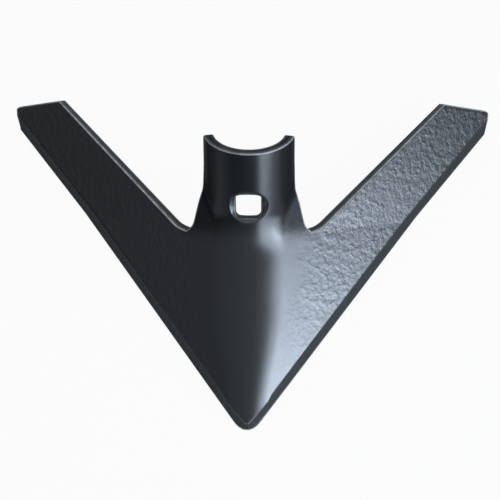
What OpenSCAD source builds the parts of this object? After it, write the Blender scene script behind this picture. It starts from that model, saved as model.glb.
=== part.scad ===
// Cultivator sweep: one forged plate with two wings, a raised crown and a half-round bolt-on stem.
// Millimetres. X runs across the wings, Y runs from the nose to the rear, Z is up.
// The sweep lies on its cutting edges, with its origin at the middle of that footprint.

/* [Wings] */
// Width across the two wing tips, between the rear corners of their top faces
span = 226; // [200:1:280]
// Angle between the two cutting edges in front of the wing roots, seen from above
nose_angle = 72; // [64:0.5:78]
// Outward turn of each cutting edge behind the wing root, in degrees
wing_turn = 2.3; // [0:0.1:4]
// Rise of the flanks from the cutting edge, in degrees
wing_lift = 30; // [24:0.5:34]
// Thickness of the plate
plate_t = 6; // [4.5:0.1:7.5]
// Distance from the point where the cutting edges would meet to the rear end of the wings
wing_reach = 160.5; // [145:0.5:180]
// Width of the square-cut end of each wing, measured across
tip_w = 21; // [16:0.5:28]
// How far the short outer side of each wing tip leans in towards the rear
tip_lean = 1.5; // [0:0.1:3]

/* [Cutting edge] */
// Width of the bevel ground along the top of the cutting edge
bevel_w = 6.6; // [5:0.1:8]
// Width of that bevel at the nose
nose_bevel = 3.6; // [2.5:0.1:5]
// Height of the blunt land left under the bevel
land = 1.2; // [0.6:0.1:2]
// Easing of the sheared rear edges and of the stem end
ease = 0.7; // [0.3:0.05:1.2]

/* [Crown] */
// Radius of the crown at the nose
nose_crown_r = 22; // [19:0.5:28]
// Radius of the crown in the middle of the sweep
crown_r = 42; // [36:0.5:52]
// Length over which the crown opens from the nose radius
crown_open = 60; // [30:1:80]
// Radius of the bend from the crown into the stem, along the middle
bend_r = 38; // [28:1:60]
// Distance along the ridge from the nose to the start of the bend
bend_at = 86; // [76:0.5:95]

/* [Stem] */
// Outside radius of the half-round stem
stem_r = 21.4; // [19:0.1:25]
// Half of the angle that the stem wraps round
stem_wrap = 80; // [70:1:84]
// Wall of the stem
stem_t = 4.7; // [4:0.1:5.5]
// Angle of the stem to the ground
stem_angle = 47.5; // [42:0.5:53]
// Length of the straight stem above the bend
stem_l = 34; // [32:0.5:50]
// Radius of the hollow fillet between the stem and the wings
flare_r = 11; // [7:0.5:16]
// How far each side of the stem spreads at its foot
flare_w = 5.6; // [3:0.1:9]
// Length of that spread along the stem
flare_l = 17; // [12:0.5:24]
// Radius at the bottom of the notch between stem and wing
crotch_r = 3.5; // [2:0.25:5]
// Distance from the start of the bend to the notch, along the middle
crotch_at = 8.6; // [5:0.1:12]

/* [Bolt hole] */
// Distance from the top end of the stem to the middle of the hole
hole_drop = 28.3; // [22:0.1:30]
// Width of the hole across the stem
hole_w = 11.6; // [9:0.1:13]
// Length of the hole along the stem
hole_l = 12.4; // [9:0.1:15]
// Radius of the hole's corners
hole_corner = 2.2; // [1:0.1:3]
// Lean of the hole from square to the stem, towards upright
hole_lean = 5; // [0:0.5:10]
// Width of the countersink, measured round the stem
sink_w = 18.4; // [17:0.2:21]
// Length of the countersink along the stem
sink_l = 16.8; // [14:0.2:20]
// Angle of the countersink's cone
sink_angle = 84; // [80:1:110]

/* [Hidden] */

// Rows and columns of the plate's two faces, and how they gather towards the nose, the notch and the bend
nose_rows = 28;
stem_rows = 27;
crown_cols = 17;
flank_cols = 4;
cols = crown_cols + flank_cols;
wing_steps = 9;
row_total = nose_rows + stem_rows;
nose_gather = 1.5;
wing_gather = 2;
stem_even = 0.35;
crown_part = 0.8;
first_step = 0.1;
// Half-width of the bevel line where it turns at the nose, and how fast it opens there
nose_flat = 0.6;
nose_open = 1.05;
// Roundness where the stem's sides begin to spread, and the share of the notch radius on each side
flare_soft = 0.012;
notch_part = 0.7;
notch_reach = 1.5;
slope_step = 0.01;
steepest = 89;
// Steel left for the seat to clear, overshoot of the cuts, and sides of the countersink
seat_skin = 0.4;
seat_r = stem_r - stem_t;
cut_over = 12;
sink_over = 2;
sink_sides = 64;

// Flank planes: slope, outward normal of the right flank, and the ridge where they would meet
half_nose = nose_angle / 2;
half_wing = half_nose + wing_turn;
flank_normal = [cos(half_nose) * sin(wing_lift), -sin(half_nose) * sin(wing_lift), cos(wing_lift)];
ridge_angle = atan(tan(wing_lift) * sin(half_nose));
ridge_normal = [0, -sin(ridge_angle), cos(ridge_angle)];
ridge_sec = norm([flank_normal.x, flank_normal * ridge_normal]) / (flank_normal * ridge_normal);
bevel_z = bevel_w * sin(wing_lift) + plate_t * cos(wing_lift);
nose_bevel_z = nose_bevel * sin(wing_lift) + plate_t * cos(wing_lift);

// Stations along the middle: where the nose, bend, notch and stem begin
bottom_start = (nose_crown_r - plate_t) * (ridge_sec - 1) / tan(ridge_angle);
top_start = (nose_bevel_z / cos(ridge_angle) - plate_t * ridge_sec + nose_crown_r * (ridge_sec - 1))
    / tan(ridge_angle);
open_start = max(bottom_start, top_start);
bend_l = bend_r * (stem_angle - ridge_angle) * PI / 180;
crotch_s = bend_at + crotch_at;
stem_s = bend_at + bend_l;
end_s = stem_s + stem_l;
side_x = stem_r * sin(stem_wrap);

function lerp(a, b, u) = a + (b - a) * u;
function ease_in(u) = let(c = min(max(u, 0), 1)) c * c * (3 - 2 * c);
function hinge(u) = (sqrt(u * u + flare_soft) + u) / 2;
function unit(v) = v / norm(v);
function flip(p, side) = [side * p.x, p.y, p.z];

// Middle line of the top face: point, slope and the frame of the section there
function slope(s) = s < bend_at ? ridge_angle : min(stem_angle, ridge_angle + (s - bend_at) / bend_r * 180 / PI);
function forward(a) = [0, cos(a), sin(a)];
function upward(a) = [0, -sin(a), cos(a)];
function crown_radius(s) = lerp(nose_crown_r, crown_r, ease_in((s - open_start) / crown_open));
function crown_line(s) = s * forward(ridge_angle)
    + (plate_t * ridge_sec - crown_radius(s) * (ridge_sec - 1)) * upward(ridge_angle);
function bend_line(a) = crown_line(bend_at) + bend_r * (upward(ridge_angle) - upward(a));
function middle(s) = s < bend_at ? crown_line(s)
    : bend_line(slope(s)) + max(s - stem_s, 0) * forward(stem_angle);

// Section of the top face: a round top, a hollow fillet and a straight flank
function formed(s) = ease_in((s - bend_at) / bend_l);
function wall(s) = lerp(plate_t, stem_t + seat_skin, formed(s));
function flank_rise(s) = flank_normal.x / (flank_normal * upward(slope(s)));
function flank_drop(s, layer) = (flank_normal * middle(s) - plate_t * (1 - layer)) / (flank_normal * upward(slope(s)));
function tangent_radius(s) = -min(flank_drop(s, 0), 0) / (sqrt(1 + pow(flank_rise(s), 2)) - 1);
function top_radius(s) = s < bend_at ? crown_radius(s)
    : max(lerp(crown_radius(bend_at), stem_r, formed(s)), tangent_radius(s));

// [radius, fillet radius, flank offset, flank slope, depth of the apex] of the top (0) or bottom (1) face
function section(s, layer) = let(t = layer * wall(s))
    [top_radius(s) - t, flare_r + t, flank_drop(s, layer) - t, flank_rise(s), t];
function fillet_middle(c) = let(
    w = sqrt(1 + c[3] * c[3]),
    k = c[2] - c[1] * w - c[0],
    b = c[3] * k,
    x = (-b + sqrt(max(b * b - w * w * (k * k - pow(c[0] + c[1], 2)), 0))) / (w * w))
    [x, c[2] + c[3] * x - c[1] * w];
function depth(c, x) = let(
    f = fillet_middle(c),
    turn = min(atan2(f.x, c[0] - f.y), steepest),
    flank_x = f.x - c[1] * sin(atan(c[3])))
    c[4] + (x <= c[0] * sin(turn) ? c[0] - sqrt(c[0] * c[0] - x * x)
        : x < flank_x ? f.y + sqrt(c[1] * c[1] - pow(x - f.x, 2))
        : c[2] + c[3] * x);
function width_at(c, h) = let(
    g = h - c[4],
    arc_x = sqrt(max(c[0] * c[0] - pow(c[0] - g, 2), 0)))
    g < c[0] * (1 - cos(atan(c[3]))) ? arc_x : (g - c[2]) / c[3];
function on_face(s, layer, x) = let(c = section(s, layer))
    middle(s) + [x, 0, 0] - depth(c, abs(x)) * upward(slope(s));

// Side of the stem, from the notch to the top end, and the same point carried to the inner face
function spread(d) = side_x + flare_w * hinge(1 - d / flare_l)
    + notch_part * crotch_r * pow(max(1 - d / crotch_r, 0), 2);
function lean(s, x) = let(c = section(s, 0))
    atan((depth(c, x + slope_step) - depth(c, x - slope_step)) / (2 * slope_step));
function side_at(s, layer) = let(x = spread(s - crotch_s)) x - layer * wall(s) * sin(lean(s, x));

// Grid of the middle: rows run up the sweep, columns run out from the middle line
function row_s(i, layer) = i > nose_rows
    ? lerp(crotch_s, end_s, stem_share((i - nose_rows) / stem_rows))
    : let(start = first_step + (layer == 0 ? top_start : bottom_start))
        lerp(start, crotch_s, pow(i / nose_rows, nose_gather));
function stem_share(u) = lerp(u * u, u, stem_even);
function bevel_level(s) = lerp(nose_bevel_z, bevel_z, ease_in((s - top_start) / crown_open));
function level_x(s, layer) = let(p = middle(s), level = layer == 0 ? bevel_level(s) : 0)
    width_at(section(s, layer), (p.z - level) / cos(slope(s)));
function edge_x(s, layer) = layer == 1 ? level_x(s, 1)
    : min(level_x(s, 0), nose_flat + (s - top_start) * nose_open);
function col_x(i, j, layer) = let(
    s = row_s(i, layer),
    limit = i < nose_rows ? edge_x(s, layer) : 0,
    side = i < nose_rows ? min(side_at(crotch_s, layer), crown_part * limit) : side_at(s, layer),
    u = min(j / crown_cols, 1),
    round_u = lerp(u, sin(stem_wrap * u) / sin(stem_wrap), formed(s)))
    j <= crown_cols ? side * round_u
    : lerp(side, edge_x(s, layer), (j - crown_cols) / flank_cols);
function row_cols(i) = i <= nose_rows ? cols : crown_cols;
function grid_point(i, j, layer) = on_face(row_s(i, layer), layer, sign(j) * col_x(i, abs(j), layer));

// Right wing: a flat plate from the notch row to the square-cut tip
root_edge = [for (layer = [0, 1]) grid_point(nose_rows, cols, layer)];
root_notch = [for (layer = [0, 1]) grid_point(nose_rows, crown_cols, layer)];
wing_along = [sin(half_wing), cos(half_wing), 0];
wing_normal = unit(cross(wing_along, root_notch[1] - root_edge[1]));
wing_up = cross(wing_normal, wing_along);
wing_gap = wing_normal * (root_edge[0] - root_edge[1]) * wing_normal;
outer_x = span / 2 + tip_lean - wing_gap.x;
function on_wing(x, y) = let(p = root_edge[1])
    [x, y, p.z - (wing_normal.x * (x - p.x) + wing_normal.y * (y - p.y)) / wing_normal.z];
outer_rear = on_wing(outer_x - tip_lean, wing_reach);
inner_rear = on_wing(outer_x - tip_lean - tip_w, wing_reach);
edge_end_y = root_edge[1].y + (outer_x - root_edge[1].x) / tan(half_wing);
edge_end = on_wing(outer_x, edge_end_y);
bevel_foot = edge_end + bevel_w * wing_up;
tip_side = outer_rear + wing_gap - edge_end;
foot_back = edge_end - bevel_foot - wing_gap;
bevel_run = cross([foot_back.x, foot_back.y], [tip_side.x, tip_side.y])
    / cross([wing_along.x, wing_along.y], [tip_side.x, tip_side.y]);
bevel_end = bevel_foot + bevel_run * wing_along;
function tip_point(a, layer) = (1 - layer) * wing_gap
    + (a == 0 ? (layer == 0 ? bevel_end : edge_end) : lerp(outer_rear, inner_rear, (a - 1) / (flank_cols - 1)));
function wing_share(k) = pow(k / wing_steps, wing_gather);
function wing_root(a, layer) = grid_point(nose_rows, cols - a, layer);
function wing_point(k, a, layer) = let(
    p = wing_root(a, layer),
    q = tip_point(a, layer),
    v = wing_share(k),
    heel = a == flank_cols ? notch_part * crotch_r : 0,
    fade = pow(max(1 - v * norm(q - p) / (notch_reach * crotch_r), 0), 2))
    lerp(p - heel * wing_up, q, v) + heel * fade * wing_up;

// Point numbers in the list of corners
upper_rows = (nose_rows + 1) * (2 * cols + 1);
face_count = upper_rows + stem_rows * (2 * crown_cols + 1);
wing_count = wing_steps * (flank_cols + 1);
function grid_id(i, j, layer) = layer * face_count
    + (i <= nose_rows ? i * (2 * cols + 1) + j + cols
        : upper_rows + (i - nose_rows - 1) * (2 * crown_cols + 1) + j + crown_cols);
function wing_id(k, a, layer, side) = k == 0 ? grid_id(nose_rows, side * (cols - a), layer)
    : 2 * face_count + (layer * 2 + (side > 0 ? 0 : 1)) * wing_count + (k - 1) * (flank_cols + 1) + a;

// The outline as pairs of top and bottom corners: first the ground edge, then the sheared edge
ground_rim = concat(
    [for (k = [wing_steps:-1:1]) [k, 0, -1]],
    [for (i = [nose_rows:-1:0]) [i, -cols]],
    [for (j = [1 - cols:cols - 1]) [0, j]],
    [for (i = [0:nose_rows]) [i, cols]],
    [for (k = [1:wing_steps]) [k, 0, 1]]);
sheared_rim = concat(
    [for (a = [0:flank_cols]) [wing_steps, a, 1]],
    [for (k = [wing_steps - 1:-1:1]) [k, flank_cols, 1]],
    [for (i = [nose_rows:row_total]) [i, crown_cols]],
    [for (j = [crown_cols - 1:-1:1 - crown_cols]) [row_total, j]],
    [for (i = [row_total:-1:nose_rows]) [i, -crown_cols]],
    [for (k = [1:wing_steps - 1]) [k, flank_cols, -1]],
    [for (a = [flank_cols:-1:0]) [wing_steps, a, -1]]);
function rim_id(r, layer) = len(r) == 3 ? wing_id(r[0], r[1], layer, r[2]) : grid_id(r[0], r[1], layer);
function rim_point(r, layer) = len(r) == 3 ? flip(wing_point(r[0], r[1], layer), r[2])
    : grid_point(r[0], r[1], layer);

// Eased sheared edge: each corner is carried outward and towards the middle of the plate
function rim_out(n) = let(
    last = len(sheared_rim) - 1,
    p = rim_point(sheared_rim[n], 0),
    a = n > 0 ? p - rim_point(sheared_rim[n - 1], 0) : rim_point(sheared_rim[1], 0) - p,
    b = n < last ? rim_point(sheared_rim[n + 1], 0) - p : a,
    up = p - rim_point(sheared_rim[n], 1),
    out = unit(cross(unit(a) + unit(b), up)))
    out / (out * unit(cross(a, up)));
function eased_point(n, layer) = let(
    top = rim_point(sheared_rim[n], 0),
    bottom = rim_point(sheared_rim[n], 1),
    inward = unit(bottom - top) * (layer == 0 ? 1 : -1))
    (layer == 0 ? top : bottom) + ease * (rim_out(n) + inward);

grid_corners = [for (layer = [0, 1], i = [0:row_total], j = [-row_cols(i):row_cols(i)]) grid_point(i, j, layer)];
wing_corners = [for (layer = [0, 1], side = [1, -1], k = [1:wing_steps], a = [0:flank_cols])
    flip(wing_point(k, a, layer), side)];
land_corners = [for (r = ground_rim) rim_point(r, 1) + [0, 0, land]];
eased_corners = [for (layer = [0, 1], n = [0:len(sheared_rim) - 1]) eased_point(n, layer)];
land_base = len(grid_corners) + len(wing_corners);
eased_base = land_base + len(land_corners);
rim_last = len(sheared_rim) - 1;
function land_id(n) = land_base + n;
function eased_id(n, layer) = eased_base + layer * (rim_last + 1) + n;

// A four-sided patch as two triangles, turned over for the bottom face
function patch(a, b, c, d, over) = over ? [[a, b, c], [a, c, d]] : [[c, b, a], [d, c, a]];
grid_faces = [for (layer = [0, 1], i = [0:row_total - 1])
    let(w = row_cols(i + 1))
    for (j = [-w:w - 1])
    each patch(grid_id(i, j, layer), grid_id(i, j + 1, layer),
        grid_id(i + 1, j + 1, layer), grid_id(i + 1, j, layer), layer == 1)];
wing_faces = [for (layer = [0, 1], side = [1, -1], k = [0:wing_steps - 1], a = [0:flank_cols - 1])
    each patch(wing_id(k, a, layer, side), wing_id(k + 1, a, layer, side),
        wing_id(k + 1, a + 1, layer, side), wing_id(k, a + 1, layer, side), layer * 2 - 1 == side)];
ground_faces = [for (n = [0:len(ground_rim) - 2])
    let(a = ground_rim[n], b = ground_rim[n + 1])
    each concat(
        patch(rim_id(a, 1), rim_id(b, 1), land_id(n + 1), land_id(n), false),
        patch(land_id(n), land_id(n + 1), rim_id(b, 0), rim_id(a, 0), false))];
sheared_faces = [for (n = [0:rim_last - 1])
    let(a = sheared_rim[n], b = sheared_rim[n + 1])
    each concat(
        patch(rim_id(a, 1), rim_id(b, 1), eased_id(n + 1, 1), eased_id(n, 1), false),
        patch(eased_id(n, 1), eased_id(n + 1, 1), eased_id(n + 1, 0), eased_id(n, 0), false),
        patch(eased_id(n, 0), eased_id(n + 1, 0), rim_id(b, 0), rim_id(a, 0), false))];
function corner_faces(land_n, n) = [
    [rim_id(sheared_rim[n], 1), eased_id(n, 1), land_id(land_n)],
    [eased_id(n, 1), eased_id(n, 0), land_id(land_n)],
    [eased_id(n, 0), rim_id(sheared_rim[n], 0), land_id(land_n)]];
function reversed(faces) = [for (f = faces) [f[2], f[1], f[0]]];

// Forged plate before the bolt hole is punched
module forging() {
    polyhedron(
        points = concat(grid_corners, wing_corners, land_corners, eased_corners),
        faces = concat(grid_faces, wing_faces, ground_faces, sheared_faces,
            reversed(corner_faces(len(ground_rim) - 1, 0)), corner_faces(0, rim_last)),
        convexity = 6);
}

// Frame of the bolt hole: Z along the bolt, Y up the stem, origin on the crest of the stem
module at_hole() {
    translate(middle(end_s - hole_drop))
        rotate([stem_angle - hole_lean, 0, 0])
            children();
}

// Ring of the countersink at a height over the stem: an oval, bent round the stem with the plate
function sink_ring(h) = let(grow = h * tan(sink_angle / 2), r = stem_r + h)
    [for (n = [0:sink_sides - 1]) let(
        t = 360 * n / sink_sides,
        turn = (sink_w / 2 + grow) * cos(t) / stem_r * 180 / PI)
        [r * sin(turn), (sink_l / 2 + grow) * sin(t), r * cos(turn) - stem_r]];

// Countersink that takes the bolt's head, from over the stem down to the hole
module countersink() {
    floor_h = (hole_w - sink_w) / 2 / tan(sink_angle / 2);
    n = sink_sides;
    polyhedron(
        points = concat(sink_ring(floor_h), sink_ring(sink_over), [[0, 0, floor_h], [0, 0, sink_over]]),
        faces = [for (k = [0:n - 1]) let(m = (k + 1) % n) each [
            [k, m, 2 * n],
            [n + m, n + k, 2 * n + 1],
            [n + k, m, k],
            [n + k, n + m, m]]]);
}

// Square hole with round corners, and its countersink
module bolt_hole() {
    at_hole() {
        linear_extrude(3 * cut_over, center = true) {
            square([hole_w - 2 * hole_corner, hole_l], center = true);
            square([hole_w, hole_l - 2 * hole_corner], center = true);
            for (x = [-1, 1], y = [-1, 1])
                translate([x * (hole_w / 2 - hole_corner), y * (hole_l / 2 - hole_corner)])
                    circle(hole_corner, $fn = 32);
        }
        countersink();
    }
}

// Round seat along the back of the stem, where the shank lies
module shank_seat() {
    translate(middle(stem_s) - stem_r * upward(stem_angle))
        rotate([stem_angle - 90, 0, 0])
            cylinder(h = stem_l + cut_over, r = seat_r, $fn = 96);
}

module sweep() {
    front = grid_point(0, 0, 1).y;
    rear = max([for (p = eased_corners) p.y]);
    color([0.11, 0.12, 0.13])
        translate([0, -(front + rear) / 2, 0])
            difference() {
                forging();
                shank_seat();
                bolt_hole();
            }
}

sweep();
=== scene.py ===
"""Cultivator sweep: models the painted forging over its solid, on a pale studio floor."""

import math

import bmesh
import bpy
from mathutils import Matrix, Vector


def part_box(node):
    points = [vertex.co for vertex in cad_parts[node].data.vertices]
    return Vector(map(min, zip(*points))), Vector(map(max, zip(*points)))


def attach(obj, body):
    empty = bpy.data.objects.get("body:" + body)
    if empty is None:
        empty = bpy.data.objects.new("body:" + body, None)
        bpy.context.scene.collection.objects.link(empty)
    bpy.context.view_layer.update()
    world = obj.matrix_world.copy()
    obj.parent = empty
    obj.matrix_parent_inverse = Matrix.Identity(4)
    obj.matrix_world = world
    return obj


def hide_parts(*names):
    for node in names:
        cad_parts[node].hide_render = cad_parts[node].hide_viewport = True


bl_info = {
    "name": "Cultivator Sweep",
    "version": (1, 0, 0),
    "blender": (4, 5, 0),
    "location": "View3D > Sidebar > Sweep",
    "description": "Forges, paints and lights a cultivator sweep",
    "category": "Object",
}

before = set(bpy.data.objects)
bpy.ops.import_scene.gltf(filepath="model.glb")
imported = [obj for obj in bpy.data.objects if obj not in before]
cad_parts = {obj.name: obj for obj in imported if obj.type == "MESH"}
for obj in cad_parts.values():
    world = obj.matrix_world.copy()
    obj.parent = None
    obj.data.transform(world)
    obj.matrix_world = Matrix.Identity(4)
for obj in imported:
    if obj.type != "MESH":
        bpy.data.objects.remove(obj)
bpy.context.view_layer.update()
SOLID_LOW, SOLID_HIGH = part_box("sweep")

# Rows and columns of the plate, counted from the nose and out from the middle line
NOSE_ROWS = 76
ROWS_UNDER_HOLE = 6
HOLE_HALF = 8
ROWS_OVER_HOLE = 16
CORNER_ROWS = 4
CROWN_COLS = 26
FLANK_COLS = 34
TIP_COLS = 5
WING_STEPS = 64
COLS = CROWN_COLS + FLANK_COLS
HOLE_ROW = NOSE_ROWS + ROWS_UNDER_HOLE + HOLE_HALF
LAST_ROW = HOLE_ROW + HOLE_HALF + ROWS_OVER_HOLE + CORNER_ROWS
TOP, BOTTOM = 0, 1

# Wear and painted highlight, and grinding, on each ring of a rim, from the top face down to the
# bottom face: the light worn colour on the edges is partly rubbed paint and partly a painted
# highlight of the rounded edges
SHEARED_WEAR_AND_HIGHLIGHT = (1.0, 1.0, 0.4, 0.0, 0.3, 0.6, 0.6, 0.0)
GROUND_WEAR_AND_HIGHLIGHT = (0.4, 0.0, 0.0, 0.0, 0.3, 0.8, 0.4, 0.0)
GROUND_FINISH = (1.0, 1.0, 1.0, 1.0, 1.0, 1.0, 0.5, 0.0)
HOLE_WEAR_AND_HIGHLIGHT = (0.0, 0.0, 0.0, 0.2, 0.0, 0.3, 0.6, 0.2, 0.0, 0.0, 0.3, 0.0)

# Share of the bevel's wear and painted highlight that is left along the wings, and where it fades
# to that share behind the nose, in shares of the crown's opening
WING_WEAR_AND_HIGHLIGHT = 0.15
NOSE_WEAR_AND_HIGHLIGHT_END = 0.6
NOSE_WEAR_AND_HIGHLIGHT_FADE = 0.5

# How strongly rows gather towards the nose, and steps along a wing towards the notch
GATHER = 1.3

# Columns of the tip between which its outer corner is rounded
TIP_ROUND_FROM = TIP_COLS - 1
TIP_ROUND_TO = TIP_COLS + 3

# Share of a wing's columns, next to the notch, that bend into the notch's rounding
HEEL_SHARE = 0.25

# Where the painted shade on the stem's sides and in the hollows begins, and over how much it comes
# and goes: there the paint's sheen is dimmed to stand in for their darker reflection
PAINTED_SHADE_COL = 11
PAINTED_SHADE_COLS_IN = 6
PAINTED_SHADE_COLS_OUT = 5
PAINTED_SHADE_ROW = NOSE_ROWS - 4
PAINTED_SHADE_ROWS_IN = 9

# Rings of the rims: turns in degrees, or shares of the way from one line of the profile to the next
ROUND_TURNS = (30, 60, 90)
BEVEL_RINGS = (0.05, 0.15, 0.5, 0.85, 0.96)
LAND_RINGS = (0.08, 0.6)
SINK_RINGS = (0.25, 0.5, 0.75)
DISH_RINGS = (0.3, 0.65, 0.9)
CONE_RINGS = (0.12, 0.6)
WALL_RING = 0.6

# Corners of the mesh nearer to each other than this become one
MERGE = 1e-6

# Noises of the paint: size in metres, detail and roughness
DRIFT_NOISE = (0.016, 2.0, 0.5)
PATCH_NOISE = (0.009, 2.0, 0.5)
RUB_NOISE = (0.004, 3.0, 0.6)
GLOSS_NOISE = (0.006, 1.0, 0.5)

# Noises sized by the wrinkles: share of their size, detail, roughness and distortion
PEEL_NOISE = (1.0, 1.0, 0.45, 0.3)
RIPPLE_NOISE = (0.45, 1.0, 0.4, 0.2)
GRAIN_NOISE = (0.24, 2.0, 0.6, 0.0)

# Ranges of a noise and what they turn into
PATCH_RAMP = (0.3, 0.7, 0.7, 1.0)
RUB_RAMP = (0.3, 0.6, 0.55, 1.0)
GLOSS_RANGE = (0.3, 0.7)
GLOSS_DOWN = 0.005
GLOSS_UP = 0.01

# Stretch of the noises, and how far the border of the smooth crown wanders, in metres
NOISE_STRETCH = (1.0, 0.7, 1.0)
DRIFT = 0.03

# Depth of ripples and grain, and what the bevel lacks, in shares of the wrinkles' depth
RIPPLE_DEPTH = 0.26
GRAIN_DEPTH = 0.04
BEVEL_CALM = 0.85

# Half-widths between which the ripples come in, in shares of the smooth half-width
RIPPLE_FROM = 0.8
RIPPLE_TO = 2

# Floor disc, and how far it lies under the part, in metres
FLOOR_RADIUS = 6.0
FLOOR_SIDES = 96
FLOOR_DROP = 0.0002

# Shares of white that the floor shows to the camera, and adds for gloss and glass
FLOOR_WHITE = 0.95
FLOOR_MIRRORED = 0.03

# Sky: its colour, the heights between which it brightens, and its strengths there
SKY_COLOUR = (0.88, 0.95, 1.0, 1)
SKY_HEIGHTS = (0.1, 0.78)
SKY_STRENGTHS = (0.02, 0.41)

# Softboxes: name, place, aim, size, power in watts and spread in degrees
LAMPS = (
    ("softbox", (0.55, -0.495, 0.36), (0.0, 0.0, 0.02), (0.7, 0.7), 7.1, 180),
    ("softbox_heart", (0.414, -0.4, 0.46), (0.01, -0.03, 0.01), (0.44, 0.36), 0.3, 70),
    ("nose_spot", (0.5, -0.32, 0.38), (0.02, -0.07, 0.01), (0.2, 0.16), 0.04, 30),
    ("rear_strip", (-0.1, 0.75, 0.5), (0.0, 0.0, 0.02), (0.9, 0.12), 1.0, 180),
)

# Camera: elevation, azimuth and roll in degrees, then distance and aim in metres
CAMERA_ANGLES = (75.486, 5.909, -5.119)
CAMERA_DISTANCE = 1.1115
CAMERA_AIM = (0, 0.00716, 0.02)

# Width of the picture in pixels, a pixel's size at the aim in metres, and the shift in pixels
PICTURE = 500
PIXEL = 0.000469
SHIFT_RIGHT = -0.955
SHIFT_DOWN = -6.909

# Width of the sensor in millimetres
SENSOR = 36.0


def length(name, description, millimetres):
    """A size in metres, given in millimetres."""
    return bpy.props.FloatProperty(
        name=name,
        description=description,
        default=millimetres / 1000,
        unit="LENGTH",
        subtype="DISTANCE",
        precision=4,
    )


def angle(name, description, degrees):
    """An angle, given in degrees."""
    return bpy.props.FloatProperty(
        name=name,
        description=description,
        default=math.radians(degrees),
        unit="ROTATION",
        subtype="ANGLE",
    )


def number(name, description, value):
    """A plain factor."""
    return bpy.props.FloatProperty(
        name=name, description=description, default=value, subtype="FACTOR"
    )


def colour(name, description, value):
    """A colour in linear red, green and blue."""
    return bpy.props.FloatVectorProperty(
        name=name, description=description, default=value, size=3, subtype="COLOR", min=0.0, max=1.0
    )


class SweepSizes(bpy.types.PropertyGroup):
    """Sizes of the forging."""

    span: length(
        "Span", "Width across the wing tips, between the rear corners of their top faces", 226
    )
    nose_angle: angle("Nose angle", "Angle between the cutting edges, seen from above", 72)
    wing_turn: angle("Wing turn", "Outward turn of the cutting edge behind the wing root", 2.3)
    wing_lift: angle("Wing lift", "Rise of the flanks from the cutting edge", 30)
    plate: length("Plate", "Thickness of the plate", 6)
    wing_reach: length(
        "Wing reach", "From where the cutting edges would meet to the rear end of the wings", 160.5
    )
    tip_width: length("Tip width", "Width of the square-cut end of each wing", 21)
    tip_lean: length("Tip lean", "How far the outer side of the tip leans in towards the rear", 1.5)
    bevel: length("Bevel", "Width of the ground bevel along the wings", 6.6)
    nose_bevel: length("Nose bevel", "Width of the ground bevel at the nose", 3.6)
    bevel_open: length(
        "Bevel opening", "Length over which the bevel opens from its width at the nose", 15
    )
    land: length("Land", "Height of the blunt land under the bevel", 1.2)
    edge_round: length("Edge rounding", "Rounding of the sheared edges", 0.7)
    nose_crown: length("Nose crown", "Radius of the crown at the nose", 22)
    crown: length("Crown", "Radius of the crown in the middle", 42)
    crown_open: length(
        "Crown opening", "Length over which the crown opens from the nose radius", 60
    )
    bend: length("Bend", "Radius of the bend from the crown into the stem", 38)
    bend_at: length("Bend start", "From the nose to the start of the bend, along the ridge", 86)
    stem: length("Stem", "Outside radius of the half-round stem", 21.4)
    stem_wrap: angle("Stem wrap", "Half of the angle that the stem wraps round", 80)
    stem_wall: length("Stem wall", "Wall of the stem", 4.7)
    stem_angle: angle("Stem angle", "Angle of the stem to the ground", 47.5)
    stem_length: length("Stem length", "Length of the straight stem above the bend", 34)
    stem_corner: length("Stem corners", "Rounding of the two top corners of the stem", 1.6)
    flare: length("Flare", "Radius of the hollow between the stem and the wings", 11)
    flare_width: length("Flare width", "How far each side of the stem spreads at its foot", 5.6)
    flare_length: length("Flare length", "Length of that spread along the stem", 17)
    notch: length("Notch", "Radius at the bottom of the notch between stem and wing", 3.5)
    notch_at: length(
        "Notch start", "From the start of the bend to the notch, along the middle", 8.6
    )
    hole_drop: length(
        "Hole drop", "From the top end of the stem to the middle of the bolt hole", 28.3
    )
    hole_width: length("Hole width", "Width of the bolt hole across the stem", 11.6)
    hole_length: length("Hole length", "Length of the bolt hole along the stem", 12.4)
    hole_corner: length("Hole corners", "Radius of the bolt hole's corners", 2.2)
    hole_lean: angle("Hole lean", "Lean of the bolt hole from square to the stem", 5)
    sink_width: length("Countersink width", "Width of the countersink, round the stem", 18.4)
    sink_length: length("Countersink length", "Length of the countersink along the stem", 16.8)
    sink_angle: angle("Countersink angle", "Angle of the countersink's cone", 84)
    dish_angle: angle("Dish angle", "Slope of the worn outer part of the countersink", 33)
    sink_dish: number(
        "Dish share", "How much of the countersink's width is worn to that slope", 0.85
    )
    sink_soft: length("Countersink rounding", "Rounding of the countersink's rim", 0.9)


class PaintLook(bpy.types.PropertyGroup):
    """Looks of the painted surface."""

    paint: colour("Paint", "Colour of the black paint", (0.0088, 0.0098, 0.0108))
    ground: colour(
        "Ground bevel", "Colour of the thin paint over the ground bevel", (0.0095, 0.0102, 0.011)
    )
    # Partly real wear and partly painted highlight: this light colour on the edges also stands in
    # for the bright highlights of the rounded edges
    worn: colour(
        "Worn edges", "Colour of the edges where the paint has rubbed thin", (0.42, 0.41, 0.4)
    )
    sheen: number("Sheen", "How strongly the paint mirrors its surroundings", 0.72)
    gloss: number("Roughness", "Roughness of the paint", 0.26)
    # Painted shade: share by which the paint's sheen is dimmed on the stem's sides and in the
    # hollows
    dull: number(
        "Dull share",
        "How much duller the paint is on the sides of the stem and in the hollows",
        0.78,
    )
    ground_gloss: number("Bevel roughness", "Roughness of the paint over the ground bevel", 0.5)
    peel_size: length("Peel size", "Size of the wrinkles in the paint on the wings", 2.1)
    peel_depth: length("Peel depth", "Depth of those wrinkles", 0.175)
    smooth_in: length(
        "Smooth half-width", "Half-width of the smooth crown and stem, where the wrinkles begin", 12
    )
    rough_out: length(
        "Wrinkled half-width", "Half-width from which the wrinkles have their full depth", 38
    )


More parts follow.
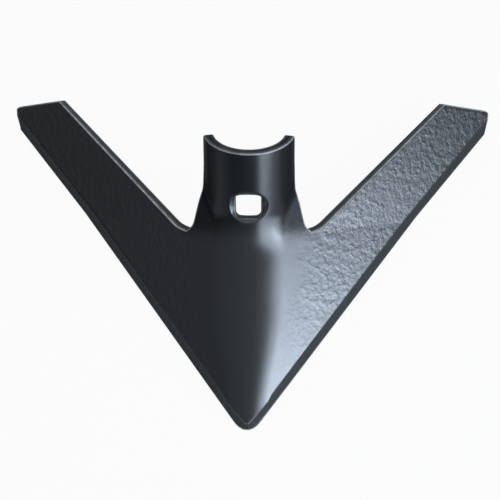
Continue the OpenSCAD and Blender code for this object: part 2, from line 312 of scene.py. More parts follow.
class StudioLook(bpy.types.PropertyGroup):
    """Looks of the floor and of the light."""

    floor: colour("Floor", "Colour of the floor", (0.36, 0.36, 0.36))
    softbox: colour("Softbox", "Colour of the light from all the softboxes", (0.72, 0.84, 1.0))


def lerp(a, b, u):
    """The value a share u of the way from a to b."""
    return a + (b - a) * u


def ease_in(u):
    """A soft step from 0 to 1."""
    c = min(max(u, 0.0), 1.0)
    return c * c * (3 - 2 * c)


def forward(slope):
    """Direction along the middle line where it has that slope."""
    return Vector((0, math.cos(slope), math.sin(slope)))


def upward(slope):
    """Direction square to the middle line where it has that slope."""
    return Vector((0, -math.sin(slope), math.cos(slope)))


class SweepForm:
    """The forged plate, station by station along its middle line, worked out from the sizes."""

    # Distance of the first row from the nose's point, and half-width of the top face at that point
    first_step = 0.0001
    nose_flat = 0.0006
    # How fast the top face widens behind the point
    nose_open = 0.9
    # Softness of the spread at the stem's foot
    flare_soft = 0.012
    # Share of the notch radius on each side, and the radii over which it runs out along the wing
    notch_part = 0.7
    notch_reach = 2.2
    # Largest share of the half-width that the crown's columns take
    crown_part = 0.8
    # Share of the edge rounding by which the stem's end face stands back
    end_back = 0.36
    # Largest turn of the crown's arc
    steepest = math.radians(89)
    # Step over which a slope is measured
    slope_step = 0.00001
    # Rounding of the bolt hole's edges, and least height of its wall
    hole_soft = 0.0003
    hole_wall = 0.0006

    def __init__(self, sizes):
        for name in SweepSizes.__annotations__:
            setattr(self, name, getattr(sizes, name))
        half = self.nose_angle / 2
        self.half_wing = half + self.wing_turn
        lift = self.wing_lift
        self.flank = Vector(
            (math.cos(half) * math.sin(lift), -math.sin(half) * math.sin(lift), math.cos(lift))
        )
        self.ridge = math.atan(math.tan(lift) * math.sin(half))
        across = self.flank.dot(upward(self.ridge))
        self.ridge_sec = math.hypot(self.flank.x, across) / across
        self.bevel_z = self.bevel * math.sin(lift) + self.plate * math.cos(lift)
        self.nose_bevel_z = self.nose_bevel * math.sin(lift) + self.plate * math.cos(lift)
        rise = math.tan(self.ridge)
        crown_rise = self.nose_crown * (self.ridge_sec - 1)
        bevel_rise = self.nose_bevel_z / math.cos(self.ridge) - self.plate * self.ridge_sec
        self.start = (
            (bevel_rise + crown_rise) / rise,
            (self.nose_crown - self.plate) * (self.ridge_sec - 1) / rise,
        )
        bend_length = self.bend * (self.stem_angle - self.ridge)
        self.bend_length = bend_length
        self.notch_s = self.bend_at + self.notch_at
        self.stem_s = self.bend_at + bend_length
        full_s = self.stem_s + self.stem_length
        self.end_s = full_s - self.end_back * self.edge_round
        self.hole_s = full_s - self.hole_drop
        self.side_x = self.stem * math.sin(self.stem_wrap)
        self.sections = {}
        self.rows = [self.row_stations(TOP), self.row_stations(BOTTOM)]
        self.set_wing()

    def slope(self, s):
        """Slope of the middle line."""
        if s < self.bend_at:
            return self.ridge
        return min(self.stem_angle, self.ridge + (s - self.bend_at) / self.bend)

    def crown_radius(self, s):
        """Radius of the crown in front of the bend."""
        return lerp(self.nose_crown, self.crown, ease_in((s - max(self.start)) / self.crown_open))

    def crown_line(self, s):
        """Point of the middle line in front of the bend."""
        over = self.plate * self.ridge_sec - self.crown_radius(s) * (self.ridge_sec - 1)
        return s * forward(self.ridge) + over * upward(self.ridge)

    def middle(self, s):
        """Point of the middle line of the top face."""
        if s < self.bend_at:
            return self.crown_line(s)
        turn = self.bend * (upward(self.ridge) - upward(self.slope(s)))
        straight = max(s - self.stem_s, 0) * forward(self.stem_angle)
        return self.crown_line(self.bend_at) + turn + straight

    def formed(self, s):
        """How far the section has turned from the crown into the stem, from 0 to 1."""
        return ease_in((s - self.bend_at) / self.bend_length)

    def wall(self, s):
        """Thickness of the plate."""
        return lerp(self.plate, self.stem_wall, self.formed(s))

    def section(self, s, layer):
        """Radius, fillet, flank offset, flank slope and depth of the top of one face's section."""
        if (s, layer) in self.sections:
            return self.sections[s, layer]
        across = self.flank.dot(upward(self.slope(s)))
        rise = self.flank.x / across
        reach = self.flank.dot(self.middle(s))
        if s < self.bend_at:
            radius = self.crown_radius(s)
        else:
            drop = (reach - self.plate) / across
            tangent = -min(drop, 0) / (math.sqrt(1 + rise * rise) - 1)
            radius = max(lerp(self.crown_radius(self.bend_at), self.stem, self.formed(s)), tangent)
        t = layer * self.wall(s)
        flank_drop = (reach - self.plate * (1 - layer)) / across
        found = (radius - t, self.flare + t, flank_drop - t, rise, t)
        self.sections[s, layer] = found
        return found

    def depth(self, c, x):
        """How far one face lies under the middle line, at a distance x from it."""
        radius, fillet, offset, rise, top = c
        w = math.sqrt(1 + rise * rise)
        k = offset - fillet * w - radius
        b = rise * k
        fx = (-b + math.sqrt(max(b * b - w * w * (k * k - (radius + fillet) ** 2), 0))) / (w * w)
        fy = offset + rise * fx - fillet * w
        turn = min(math.atan2(fx, radius - fy), self.steepest)
        if x <= radius * math.sin(turn):
            return top + radius - math.sqrt(radius * radius - x * x)
        if x < fx - fillet * math.sin(math.atan(rise)):
            return top + fy + math.sqrt(fillet * fillet - (x - fx) ** 2)
        return top + offset + rise * x

    def on_face(self, s, layer, x):
        """Point of one face at station s, a distance x to the right."""
        c = self.section(s, layer)
        return self.middle(s) + Vector((x, 0, 0)) - self.depth(c, abs(x)) * upward(self.slope(s))

    def level_x(self, s, layer):
        """How far out the section reaches the bevel line, or the ground for the bottom face."""
        level = 0.0
        if layer == TOP:
            opened = ease_in((s - self.start[TOP]) / self.bevel_open)
            level = lerp(self.nose_bevel_z, self.bevel_z, opened)
        radius, _, offset, rise, top = self.section(s, layer)
        g = (self.middle(s).z - level) / math.cos(self.slope(s)) - top
        if g < radius * (1 - math.cos(math.atan(rise))):
            return math.sqrt(max(radius * radius - (radius - g) ** 2, 0))
        return (g - offset) / rise

    def edge_x(self, s, layer):
        """Half-width of one face in front of the notch."""
        if layer == BOTTOM:
            return self.level_x(s, layer)
        return min(self.level_x(s, layer), self.nose_flat + (s - self.start[TOP]) * self.nose_open)

    def side_x_at(self, s, layer):
        """Half-width of one face of the stem."""
        d = s - self.notch_s
        u = 1 - d / self.flare_length
        x = self.side_x + self.flare_width * (math.sqrt(u * u + self.flare_soft) + u) / 2
        x += self.notch_part * self.notch * max(1 - d / self.notch, 0) ** 2
        step = self.slope_step
        c = self.section(s, TOP)
        lean = math.atan((self.depth(c, x + step) - self.depth(c, x - step)) / (2 * step))
        x -= layer * self.wall(s) * math.sin(lean)
        into_corner = s - (self.end_s - self.stem_corner)
        if into_corner > 0:
            cut = self.stem_corner - math.sqrt(max(self.stem_corner**2 - into_corner**2, 0))
            x *= math.sin(self.stem_wrap - cut / self.stem) / math.sin(self.stem_wrap)
        return x

    def row_stations(self, layer):
        """Stations of the rows, from the nose to the top end of the stem."""
        start = self.start[layer] + self.first_step
        low, high = self.hole_s - self.hole_reach(), self.hole_s + self.hole_reach()
        top = self.end_s - self.stem_corner
        rows = [lerp(start, self.notch_s, (i / NOSE_ROWS) ** GATHER) for i in range(NOSE_ROWS)]
        rows += [lerp(self.notch_s, low, i / ROWS_UNDER_HOLE) for i in range(ROWS_UNDER_HOLE)]
        rows += [lerp(low, high, i / (2 * HOLE_HALF)) for i in range(2 * HOLE_HALF)]
        rows += [lerp(high, top, i / ROWS_OVER_HOLE) for i in range(ROWS_OVER_HOLE)]
        quarter = math.pi / 2 / CORNER_ROWS
        rows += [top + self.stem_corner * math.sin(i * quarter) for i in range(CORNER_ROWS + 1)]
        return rows

    def hole_reach(self):
        """Half-length of the opening in the top face, with the rounding of its rim."""
        return self.sink_length / 2 + self.sink_soft

    def sink_rim(self, u, v, out=0.0):
        """Place on the countersink's rim, across and along the stem, for one on a unit square."""
        half_x = self.stem * math.sin(self.sink_width / 2 / self.stem)
        return (
            (half_x + out) * u * math.sqrt(1 - v * v / 2),
            (self.sink_length / 2 + out) * v * math.sqrt(1 - u * u / 2),
        )

    def hole_rim(self, u, v, out=0.0):
        """The same for the edge of the bolt hole, a square with round corners."""
        x, y = u * (self.hole_width / 2 + out), v * (self.hole_length / 2 + out)
        r = self.hole_corner + out
        cx, cy = self.hole_width / 2 + out - r, self.hole_length / 2 + out - r
        if abs(x) > cx and abs(y) > cy:
            d = Vector((abs(x) - cx, abs(y) - cy)).normalized()
            x, y = math.copysign(cx + r * d.x, x), math.copysign(cy + r * d.y, y)
        return x, y

    def hole_exit(self, x, y):
        """Station where the wall of the bolt hole comes out of the inside of the stem."""
        seat = self.stem - self.stem_wall
        deep = self.stem_wall + seat - math.sqrt(seat * seat - x * x)
        z = (y * math.sin(self.hole_lean) - deep) / math.cos(self.hole_lean)
        return self.hole_s + y * math.cos(self.hole_lean) + z * math.sin(self.hole_lean)

    def grid_point(self, i, j, layer):
        """Corner of the grid: row i from the nose, column j out from the middle."""
        s = self.rows[layer][i]
        side = self.side_x_at(max(s, self.notch_s), layer)
        edge = self.edge_x(s, layer) if i <= NOSE_ROWS else side
        if i < NOSE_ROWS:
            side = min(side, self.crown_part * edge)
        u = min(abs(j) / CROWN_COLS, 1)
        round_u = lerp(u, math.sin(self.stem_wrap * u) / math.sin(self.stem_wrap), self.formed(s))
        x = side * round_u
        if abs(j) > CROWN_COLS:
            x = lerp(side, edge, (abs(j) - CROWN_COLS) / FLANK_COLS)
        x = math.copysign(x, j)
        ring = max(abs(j), abs(i - HOLE_ROW))
        pull = ease_in(1 - (ring - HOLE_HALF) / ROWS_UNDER_HOLE)
        if ring >= HOLE_HALF and pull > 0:
            u, v = j / ring, (i - HOLE_ROW) / ring
            out = (ring - HOLE_HALF) * self.hole_reach() / HOLE_HALF
            if layer == TOP:
                to_x, along = self.sink_rim(u, v, self.sink_soft + out)
                to_s = self.hole_s + along
            else:
                to_x, along = self.hole_rim(u, v, self.hole_soft + out)
                to_s = self.hole_exit(to_x, along)
            x, s = lerp(x, to_x, pull), lerp(s, to_s, pull)
        return self.on_face(s, layer, x)

    def set_wing(self):
        """Plane and corners of the right wing, carried on from the notch row."""
        edge = [self.grid_point(NOSE_ROWS, COLS, layer) for layer in (TOP, BOTTOM)]
        notch = [self.grid_point(NOSE_ROWS, CROWN_COLS, layer) for layer in (TOP, BOTTOM)]
        along = Vector((math.sin(self.half_wing), math.cos(self.half_wing), 0))
        normal = along.cross(notch[BOTTOM] - edge[BOTTOM]).normalized()
        self.wing_up = normal.cross(along)
        self.wing_gap = normal.dot(edge[TOP] - edge[BOTTOM]) * normal
        outer = self.span / 2 + self.tip_lean - self.wing_gap.x

        def on_wing(x, y):
            p = edge[BOTTOM]
            return Vector((x, y, p.z - (normal.x * (x - p.x) + normal.y * (y - p.y)) / normal.z))

        self.outer_rear = on_wing(outer - self.tip_lean, self.wing_reach)
        self.inner_rear = on_wing(outer - self.tip_lean - self.tip_width, self.wing_reach)
        run = (outer - edge[BOTTOM].x) / math.tan(self.half_wing)
        self.edge_end = on_wing(outer, edge[BOTTOM].y + run)
        foot = self.edge_end + self.bevel * self.wing_up
        side = (self.outer_rear + self.wing_gap - self.edge_end).to_2d()
        run = (self.edge_end - foot - self.wing_gap).to_2d().cross(side) / along.to_2d().cross(side)
        self.bevel_end = foot + run * along

    def tip_point(self, a, layer):
        """Point of the wing's tip, from the cutting edge round to the rear edge."""
        first = self.bevel_end if layer == TOP else self.edge_end
        gap = (1 - layer) * self.wing_gap

        def on_tip(b):
            if b <= TIP_COLS:
                return first.lerp(self.outer_rear, b / TIP_COLS)
            return self.outer_rear.lerp(self.inner_rear, (b - TIP_COLS) / (FLANK_COLS - TIP_COLS))

        if not TIP_ROUND_FROM < a < TIP_ROUND_TO:
            return gap + on_tip(a)
        t = (a - TIP_ROUND_FROM) / (TIP_ROUND_TO - TIP_ROUND_FROM)
        into = on_tip(TIP_ROUND_FROM).lerp(self.outer_rear, t)
        out_of = self.outer_rear.lerp(on_tip(TIP_ROUND_TO), t)
        return gap + into.lerp(out_of, t)

    def wing_point(self, k, a, layer, side):
        """Point of a wing: step k from the notch row, column a from the cutting edge."""
        p = self.grid_point(NOSE_ROWS, COLS - a, layer)
        q = self.tip_point(a, layer)
        share = (k / WING_STEPS) ** GATHER
        heel = self.notch_part * self.notch * max(1 - (1 - a / FLANK_COLS) / HEEL_SHARE, 0)
        fade = max(1 - share * (q - p).length / (self.notch_reach * self.notch), 0) ** 2
        found = (p - heel * self.wing_up).lerp(q, share) + heel * fade * self.wing_up
        return Vector((side * found.x, found.y, found.z))


def extrude_ring(bm, edges, place):
    """Extrudes a chain of edges once, with new corners where place says. Returns the new edges."""
    old = {v for e in edges for v in e.verts}
    made = bmesh.ops.extrude_edge_only(bm, edges=edges)["geom"]
    fresh = [g for g in made if isinstance(g, bmesh.types.BMVert)]
    for v in fresh:
        source = next(e.other_vert(v) for e in v.link_edges if e.other_vert(v) in old)
        place(source, v)
    fresh = set(fresh)
    return [g for g in made if isinstance(g, bmesh.types.BMEdge) and set(g.verts) <= fresh]


def forge_face(bm, form, layer):
    """Shapes one face of the plate from a grid, extrudes the wings and returns corners by place."""
    grid = bmesh.ops.create_grid(bm, x_segments=2 * COLS, y_segments=LAST_ROW, size=1.0)["verts"]
    place = {v: (round((v.co.y + 1) / 2 * LAST_ROW), round(v.co.x * COLS)) for v in grid}
    spare = []
    for f in dict.fromkeys(f for v in grid for f in v.link_faces):
        i = min(place[v][0] for v in f.verts)
        j = min(place[v][1] for v in f.verts)
        beside_stem = i >= NOSE_ROWS and not -CROWN_COLS <= j < CROWN_COLS
        in_hole = -HOLE_HALF <= j < HOLE_HALF and -HOLE_HALF <= i - HOLE_ROW < HOLE_HALF
        if beside_stem or in_hole:
            spare.append(f)
    bmesh.ops.delete(bm, geom=spare, context="FACES")
    corners = {}
    for v, key in place.items():
        if v.is_valid:
            v.co = form.grid_point(*key, layer)
            corners[key] = v
    for side in (1, -1):
        columns = {corners[NOSE_ROWS, side * (COLS - a)]: a for a in range(FLANK_COLS + 1)}
        rim = dict.fromkeys(e for v in columns for e in v.link_edges if e.is_boundary)
        edges = [e for e in rim if all(v in columns for v in e.verts)]
        for k in range(1, WING_STEPS + 1):

            def set_wing_corner(source, v, k=k, side=side):
                a = columns[source]
                columns[v] = a
                v.co = form.wing_point(k, a, layer, side)
                corners[k, a, side] = v

            edges = extrude_ring(bm, edges, set_wing_corner)
    return corners


def is_ground(key):
    """Whether a rim corner is on the ground cutting edge."""
    if len(key) == 3:
        return key[1] == 0
    return key[0] == 0 or abs(key[1]) == COLS


def painted_shade_share(i, j):
    """How much painted shade a corner of the top face takes, from 0 to 1: the stem's sides and the
    hollows, where the paint's sheen is dimmed.
    """
    inside = ease_in((abs(j) - PAINTED_SHADE_COL) / PAINTED_SHADE_COLS_IN)
    inside *= ease_in(1 - (abs(j) - CROWN_COLS) / PAINTED_SHADE_COLS_OUT)
    return inside * ease_in((i - PAINTED_SHADE_ROW) / PAINTED_SHADE_ROWS_IN)


def rim_out(v, up):
    """Direction out of the plate at a rim corner, mitred between its two rim edges."""
    sides = []
    for e in v.link_edges:
        if e.is_boundary:
            corner = e.link_loops[0]
            sides.append((corner.link_loop_next.vert.co - corner.vert.co).cross(up).normalized())
    return (sides[0] + sides[1]) / (1 + sides[0].dot(sides[1]))


def sheared_profile(form, top, bottom, out):
    """Rounded edge from the top face to the bottom face, as the places of its rings."""
    r = form.edge_round
    up = (top - bottom).normalized()
    turns = [math.radians(a) for a in ROUND_TURNS]
    upper = [top + r * (math.sin(t) * out - (1 - math.cos(t)) * up) for t in turns]
    lower = [bottom + r * (math.sin(t) * out + (1 - math.cos(t)) * up) for t in reversed(turns)]
    return upper + [(upper[-1] + lower[0]) / 2] + lower + [bottom]


def ground_profile(form, top, bottom):
    """Ground bevel and blunt land from the top face to the bottom face, as places of its rings."""
    foot = bottom + Vector((0, 0, form.land))
    bevel = [top.lerp(foot, u) for u in BEVEL_RINGS]
    land = [foot.lerp(bottom, u) for u in LAND_RINGS]
    return bevel + land + [bottom]


def hole_profile(form, key, top, bottom):
    """Countersink and wall of the bolt hole, from the top face to the inside of the stem."""
    u, v = key[1] / HOLE_HALF, (key[0] - HOLE_ROW) / HOLE_HALF
    x, y = form.sink_rim(u, v)
    rim = form.on_face(form.hole_s + y, TOP, x)
    hx, hy = form.hole_rim(u, v)
    exit_point = form.on_face(form.hole_exit(hx, hy), BOTTOM, hx)
    axis = upward(form.stem_angle - form.hole_lean)
    flat = (rim - exit_point) - axis * (rim - exit_point).dot(axis)
    drop = flat.length / math.tan(form.sink_angle / 2)
    seat = exit_point + axis * max((rim - exit_point).dot(axis) - drop, form.hole_wall)
    knee = rim - form.sink_dish * (flat + axis * flat.length * math.tan(form.dish_angle))
    dish = [rim.lerp(knee, t) for t in DISH_RINGS]
    soft = [top.lerp(rim, t).lerp(rim.lerp(dish[0], t), t) for t in SINK_RINGS]
    cone = [knee.lerp(seat, t) for t in CONE_RINGS]
    turn = axis * min(form.hole_soft, (seat - exit_point).length / 3)
    wall = [seat - turn, seat.lerp(exit_point, WALL_RING), exit_point + turn]
    return soft + dish + cone + wall + [bottom]


def join_rims(bm, edges, profiles, marks):
    """Extrudes a rim from the top face to the bottom face, ring by ring, and marks its finish, wear
    and painted highlight.
    """
    home = {v: v for e in edges for v in e.verts}
    for level in range(len(next(iter(profiles.values())))):

        def set_rim_corner(source, v, level=level):
            home[v] = home[source]
            v.co = profiles[home[v]][level]
            for layer, values in marks[home[v]].items():
                v[layer] = values[level]

        edges = extrude_ring(bm, edges, set_rim_corner)


def fit_to_solid(bm):
    """Puts the mesh in the middle of the solid's box, scaled down where it would stand past it."""
    xs = [v.co.x for v in bm.verts]
    ys = [v.co.y for v in bm.verts]
    fit_x = min(1.0, (SOLID_HIGH.x - SOLID_LOW.x) / (max(xs) - min(xs)))
    fit_y = min(1.0, (SOLID_HIGH.y - SOLID_LOW.y) / (max(ys) - min(ys)))
    bmesh.ops.translate(bm, verts=bm.verts, vec=(0, -(min(ys) + max(ys)) / 2, 0))
    bmesh.ops.scale(bm, verts=bm.verts, vec=(fit_x, fit_y, 1))
    bmesh.ops.translate(bm, verts=bm.verts, vec=(0, (SOLID_LOW.y + SOLID_HIGH.y) / 2, 0))


def forge_plate(form):
    """The whole forging as one closed mesh."""
    bm = bmesh.new()
    ground = bm.verts.layers.float.new("ground")
    worn = bm.verts.layers.float.new("worn")
    dull = bm.verts.layers.float.new("dull")
    top = forge_face(bm, form, TOP)
    # Painted shade on the stem's sides and in the hollows, which the paint reads to dim its sheen
    for key, v in top.items():
        v[dull] = painted_shade_share(*key) if len(key) == 2 else 0.0
    rim = [e for e in bm.edges if e.is_boundary]
    names = {v: key for key, v in top.items()}
    bottom = forge_face(bm, form, BOTTOM)
    profiles = {}
    marks = {}
    for v in dict.fromkeys(v for e in rim for v in e.verts):
        key = names[v]
        under = bottom[key].co
        if len(key) == 2 and max(abs(key[1]), abs(key[0] - HOLE_ROW)) == HOLE_HALF:
            profiles[v] = hole_profile(form, key, v.co, under)
            marks[v] = {worn: HOLE_WEAR_AND_HIGHLIGHT}
        elif is_ground(key):
            profiles[v] = ground_profile(form, v.co, under)
            # Painted highlight along the bevel's upper edge, strongest at the nose and fading to a
            # share of worn paint along the wings
            at_nose = ease_in((NOSE_WEAR_AND_HIGHLIGHT_END - v.co.y / form.crown_open) / NOSE_WEAR_AND_HIGHLIGHT_FADE)
            wear_and_highlight_share = lerp(WING_WEAR_AND_HIGHLIGHT, 1.0, at_nose)
            marks[v] = {ground: GROUND_FINISH, worn: [w * wear_and_highlight_share for w in GROUND_WEAR_AND_HIGHLIGHT]}
        else:
            profiles[v] = sheared_profile(form, v.co, under, rim_out(v, v.co - under))
            marks[v] = {worn: SHEARED_WEAR_AND_HIGHLIGHT}
    for rings in (len(SHEARED_WEAR_AND_HIGHLIGHT), len(HOLE_WEAR_AND_HIGHLIGHT)):
        edges = [e for e in rim if len(profiles[e.verts[0]]) == rings]
        join_rims(bm, edges, {v: p for v, p in profiles.items() if len(p) == rings}, marks)
    bmesh.ops.remove_doubles(bm, verts=bm.verts, dist=MERGE)
    bmesh.ops.recalc_face_normals(bm, faces=bm.faces)
    fit_to_solid(bm)
    for f in bm.faces:
        f.smooth = True
    return bm


def link_mesh(bm, name):
    """Turns a bmesh into an object of the scene."""
    mesh = bpy.data.meshes.new(name)
    bm.to_mesh(mesh)
    bm.free()
    piece = bpy.data.objects.new(name, mesh)
    bpy.context.scene.collection.objects.link(piece)
    return piece


def node(tree, kind, **values):
    """Adds a shader node and sets its properties and inputs by name."""
    made = tree.nodes.new(kind)
    for name, value in values.items():
        if name in made.inputs:
            made.inputs[name].default_value = value
        else:
            setattr(made, name, value)
    return made


def ramp(tree, source, low, high, to_low=0.0, to_high=1.0):
    """A soft ramp of a shader value, from one range to another."""
    made = node(tree, "ShaderNodeMapRange", interpolation_type="SMOOTHSTEP")
    ends = {"From Min": low, "From Max": high, "To Min": to_low, "To Max": to_high}
    for name, value in ends.items():
        made.inputs[name].default_value = value
    tree.links.new(source, made.inputs["Value"])
    return made.outputs["Result"]


def black_paint(look):
    """Satin black paint: wrinkled wings, smooth crown and stem, thin on the bevel, light on the
    edges from wear and painted highlight, with painted shade dimming the sheen on the stem's sides
    and in the hollows.
    """
    material = bpy.data.materials.new("black_paint")
    material.use_nodes = True
    tree = material.node_tree
    shader = tree.nodes["Principled BSDF"]

    def link(source, target, name):
        socket = source.outputs[0] if hasattr(source, "outputs") else source
        tree.links.new(socket, target.inputs[name])

    def maths(operation, a, b=None):
        made = node(tree, "ShaderNodeMath", operation=operation)
        for slot, value in enumerate((a, b)):
            if isinstance(value, float):
                made.inputs[slot].default_value = value
            elif value is not None:
                link(value, made, slot)
        return made.outputs[0]

    def noise(size, detail, roughness, distortion=0.0):
        made = node(
            tree,
            "ShaderNodeTexNoise",
            Scale=1 / size,
            Detail=detail,
            Roughness=roughness,
            Distortion=distortion,
        )
        link(stretched, made, "Vector")
        return made.outputs["Fac"]

    def wrinkles(share, *kind):
        return noise(look.peel_size * share, *kind)

    def attribute(name):
        return node(tree, "ShaderNodeAttribute", attribute_name=name).outputs["Fac"]

    place = node(tree, "ShaderNodeTexCoord")
    stretched = node(tree, "ShaderNodeMapping", Scale=NOISE_STRETCH)
    link(place.outputs["Object"], stretched, "Vector")
    split = node(tree, "ShaderNodeSeparateXYZ")
    link(place.outputs["Object"], split, "Vector")
    ground, worn, dull = (attribute(name) for name in ("ground", "worn", "dull"))

    # Painted shade: less sheen on the stem's sides and in the hollows, dimming their reflection
    sheen = ramp(tree, dull, 0.0, 1.0, look.sheen, look.sheen * (1 - look.dull))
    link(sheen, shader, "Specular IOR Level")

    # Deep wrinkles on the wings, fine ripples from the crown outwards, and a slight grain all over
    drift = maths("MULTIPLY", maths("SUBTRACT", noise(*DRIFT_NOISE), 0.5), DRIFT)
    out = maths("ADD", maths("ABSOLUTE", split.outputs["X"]), drift)
    wrinkled = ramp(tree, out, look.smooth_in, look.rough_out)
    off_bevel = maths("SUBTRACT", 1.0, maths("MULTIPLY", ground, BEVEL_CALM))
    wrinkled = maths("MULTIPLY", wrinkled, off_bevel)
    patchy = ramp(tree, noise(*PATCH_NOISE), *PATCH_RAMP)
    peel = maths("MULTIPLY", wrinkles(*PEEL_NOISE), maths("MULTIPLY", wrinkled, patchy))
    grain = maths("MULTIPLY", wrinkles(*GRAIN_NOISE), GRAIN_DEPTH)
    near = ramp(tree, out, look.smooth_in * RIPPLE_FROM, look.smooth_in * RIPPLE_TO)
    ripple = maths("MULTIPLY", wrinkles(*RIPPLE_NOISE), maths("MULTIPLY", near, RIPPLE_DEPTH))
    bump = node(tree, "ShaderNodeBump", Distance=look.peel_depth, Strength=1.0)
    link(maths("ADD", maths("ADD", peel, grain), ripple), bump, "Height")
    link(bump, shader, "Normal")

    # Edges rubbed thin in short runs, their light colour partly real wear and partly a painted
    # highlight, and a little uneven gloss
    rubbed_and_highlit = maths("MULTIPLY", worn, ramp(tree, noise(*RUB_NOISE), *RUB_RAMP))
    bevel = node(tree, "ShaderNodeMix", data_type="RGBA")
    bevel.inputs["A"].default_value = (*look.paint, 1)
    bevel.inputs["B"].default_value = (*look.ground, 1)
    link(ground, bevel, "Factor")
    edged = node(tree, "ShaderNodeMix", data_type="RGBA")
    edged.inputs["B"].default_value = (*look.worn, 1)
    link(bevel.outputs["Result"], edged, "A")
    link(rubbed_and_highlit, edged, "Factor")
    link(edged.outputs["Result"], shader, "Base Color")
    low, high = look.gloss - GLOSS_DOWN, look.gloss + GLOSS_UP
    gloss = ramp(tree, noise(*GLOSS_NOISE), *GLOSS_RANGE, low, high)
    more = maths("MULTIPLY", ground, look.ground_gloss - look.gloss)
    link(maths("ADD", gloss, more), shader, "Roughness")
    return material


class SWEEP_OT_forge(bpy.types.Operator):
    """Model the forged sweep and paint it black"""

    bl_idname = "sweep.forge"
    bl_label = "Forge Sweep"

    def execute(self, context):
        scene = context.scene
        piece = link_mesh(forge_plate(SweepForm(scene.sweep_sizes)), "sweep_forging")
        piece.data.materials.append(black_paint(scene.sweep_paint))
        even = piece.modifiers.new("even_normals", "WEIGHTED_NORMAL")
        even.mode = "FACE_AREA"
        even.weight = 50
        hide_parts("sweep")
        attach(piece, "root")
        return {"FINISHED"}


def area_lamp(name, place, aim, size, power, spread, tint):
    """A rectangular softbox that faces a point."""
    lamp = bpy.data.lights.new(name, "AREA")
    lamp.shape = "RECTANGLE"
    lamp.size, lamp.size_y = size
    lamp.energy = power
    lamp.color = tint
    lamp.spread = math.radians(spread)
    made = bpy.data.objects.new(name, lamp)
    made.location = place
    made.rotation_euler = (Vector(aim) - Vector(place)).to_track_quat("-Z", "Y").to_euler()
    bpy.context.scene.collection.objects.link(made)


def shown_share(tree, straight, mirrored):
    """Share of white for the camera's rays, with that for rays by way of gloss or glass added."""
    rays = node(tree, "ShaderNodeLightPath")
    total = None
    for name, share in (
        ("Is Camera Ray", straight),
        ("Is Glossy Ray", mirrored),
        ("Is Transmission Ray", mirrored),
    ):
        add = node(tree, "ShaderNodeMath", operation="MULTIPLY_ADD")
        tree.links.new(rays.outputs[name], add.inputs[0])
        add.inputs[1].default_value = share
        add.inputs[2].default_value = 0.0
        if total:
            tree.links.new(total, add.inputs[2])
        total = add.outputs[0]
    return total


def lay_floor(look):
    """A wide disc that is white for the camera and keeps the part's shadow."""
    bm = bmesh.new()
    bmesh.ops.create_circle(bm, cap_ends=True, segments=FLOOR_SIDES, radius=FLOOR_RADIUS)
    bmesh.ops.translate(bm, verts=bm.verts, vec=(0, 0, -FLOOR_DROP))
    floor = link_mesh(bm, "floor")
    paper = bpy.data.materials.new("floor_paper")
    paper.use_nodes = True
    tree = paper.node_tree
    shader = tree.nodes["Principled BSDF"]
    shader.inputs["Base Color"].default_value = (*look.floor, 1)
    shader.inputs["Roughness"].default_value = 1.0
    shader.inputs["Specular IOR Level"].default_value = 0.0
    glow = node(tree, "ShaderNodeEmission")
    mix = node(tree, "ShaderNodeMixShader")
    tree.links.new(shown_share(tree, FLOOR_WHITE, FLOOR_MIRRORED), mix.inputs[0])
    tree.links.new(shader.outputs[0], mix.inputs[1])
    tree.links.new(glow.outputs[0], mix.inputs[2])
    tree.links.new(mix.outputs[0], tree.nodes["Material Output"].inputs["Surface"])
    floor.data.materials.append(paper)


def studio_sky():
    """A world that is dark at the horizon and brightens overhead."""
    world = bpy.data.worlds.new("studio")
    world.use_nodes = True
    tree = world.node_tree
    sky = tree.nodes["Background"]
    sky.inputs["Color"].default_value = SKY_COLOUR
    place = node(tree, "ShaderNodeTexCoord")
    height = node(tree, "ShaderNodeSeparateXYZ")
    tree.links.new(place.outputs["Generated"], height.inputs["Vector"])
    strength = ramp(tree, height.outputs["Z"], *SKY_HEIGHTS, *SKY_STRENGTHS)
    tree.links.new(strength, sky.inputs["Strength"])
    return world


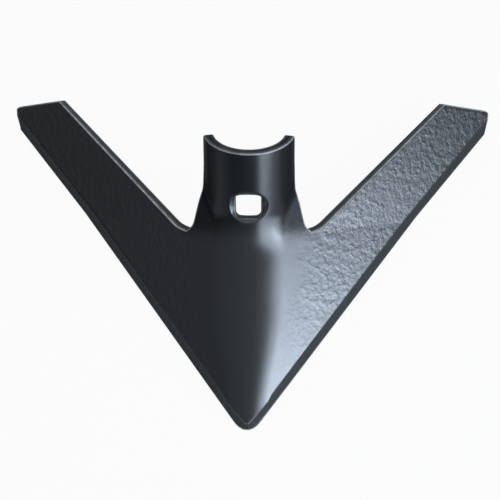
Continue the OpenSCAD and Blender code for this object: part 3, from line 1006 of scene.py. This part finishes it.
def fitted_camera():
    """The camera, turned and placed as its angles, distance and shift say."""
    elevation, azimuth, roll = (math.radians(a) for a in CAMERA_ANGLES)
    level = Vector((math.cos(azimuth), math.sin(azimuth), 0))
    behind = Vector((math.sin(azimuth), -math.cos(azimuth), 0))
    back = math.cos(elevation) * behind + math.sin(elevation) * Vector((0, 0, 1))
    right = math.cos(roll) * level + math.sin(roll) * back.cross(level)
    up = back.cross(right)
    target = Vector(CAMERA_AIM) - PIXEL * (SHIFT_RIGHT * right - SHIFT_DOWN * up)
    camera = bpy.data.cameras.new("camera")
    camera.sensor_width = SENSOR
    camera.lens = CAMERA_DISTANCE / PIXEL * SENSOR / PICTURE
    taken = bpy.data.objects.new("camera", camera)
    turn = Matrix((right, up, back)).transposed().to_4x4()
    taken.matrix_world = Matrix.Translation(target + CAMERA_DISTANCE * back) @ turn
    bpy.context.scene.collection.objects.link(taken)
    return taken


class SWEEP_OT_stage(bpy.types.Operator):
    """Lay the floor, hang the softboxes and set the camera"""

    bl_idname = "sweep.stage"
    bl_label = "Set Stage"

    def execute(self, context):
        scene = context.scene
        look = scene.sweep_studio
        lay_floor(look)
        scene.world = studio_sky()
        for lamp in LAMPS:
            area_lamp(*lamp, look.softbox)
        scene.camera = fitted_camera()
        scene.view_settings.view_transform = "Standard"
        return {"FINISHED"}


class SWEEP_PT_panel(bpy.types.Panel):
    """Sizes, looks and steps of the sweep"""

    bl_label = "Cultivator Sweep"
    bl_idname = "SWEEP_PT_panel"
    bl_space_type = "VIEW_3D"
    bl_region_type = "UI"
    bl_category = "Sweep"

    def draw(self, context):
        layout = self.layout
        scene = context.scene
        for group in (scene.sweep_sizes, scene.sweep_paint, scene.sweep_studio):
            box = layout.box()
            for name in type(group).__annotations__:
                box.prop(group, name)
        layout.operator(SWEEP_OT_forge.bl_idname)
        layout.operator(SWEEP_OT_stage.bl_idname)


CLASSES = (SweepSizes, PaintLook, StudioLook, SWEEP_OT_forge, SWEEP_OT_stage, SWEEP_PT_panel)


def register():
    """Add the classes and their settings to Blender."""
    for c in CLASSES:
        bpy.utils.register_class(c)
    bpy.types.Scene.sweep_sizes = bpy.props.PointerProperty(type=SweepSizes)
    bpy.types.Scene.sweep_paint = bpy.props.PointerProperty(type=PaintLook)
    bpy.types.Scene.sweep_studio = bpy.props.PointerProperty(type=StudioLook)


def unregister():
    """Take them out again."""
    del bpy.types.Scene.sweep_studio
    del bpy.types.Scene.sweep_paint
    del bpy.types.Scene.sweep_sizes
    for c in reversed(CLASSES):
        bpy.utils.unregister_class(c)


def main():
    """Forge the sweep and set the stage."""
    register()
    bpy.ops.sweep.forge()
    bpy.ops.sweep.stage()


if __name__ == "__main__":
    main()
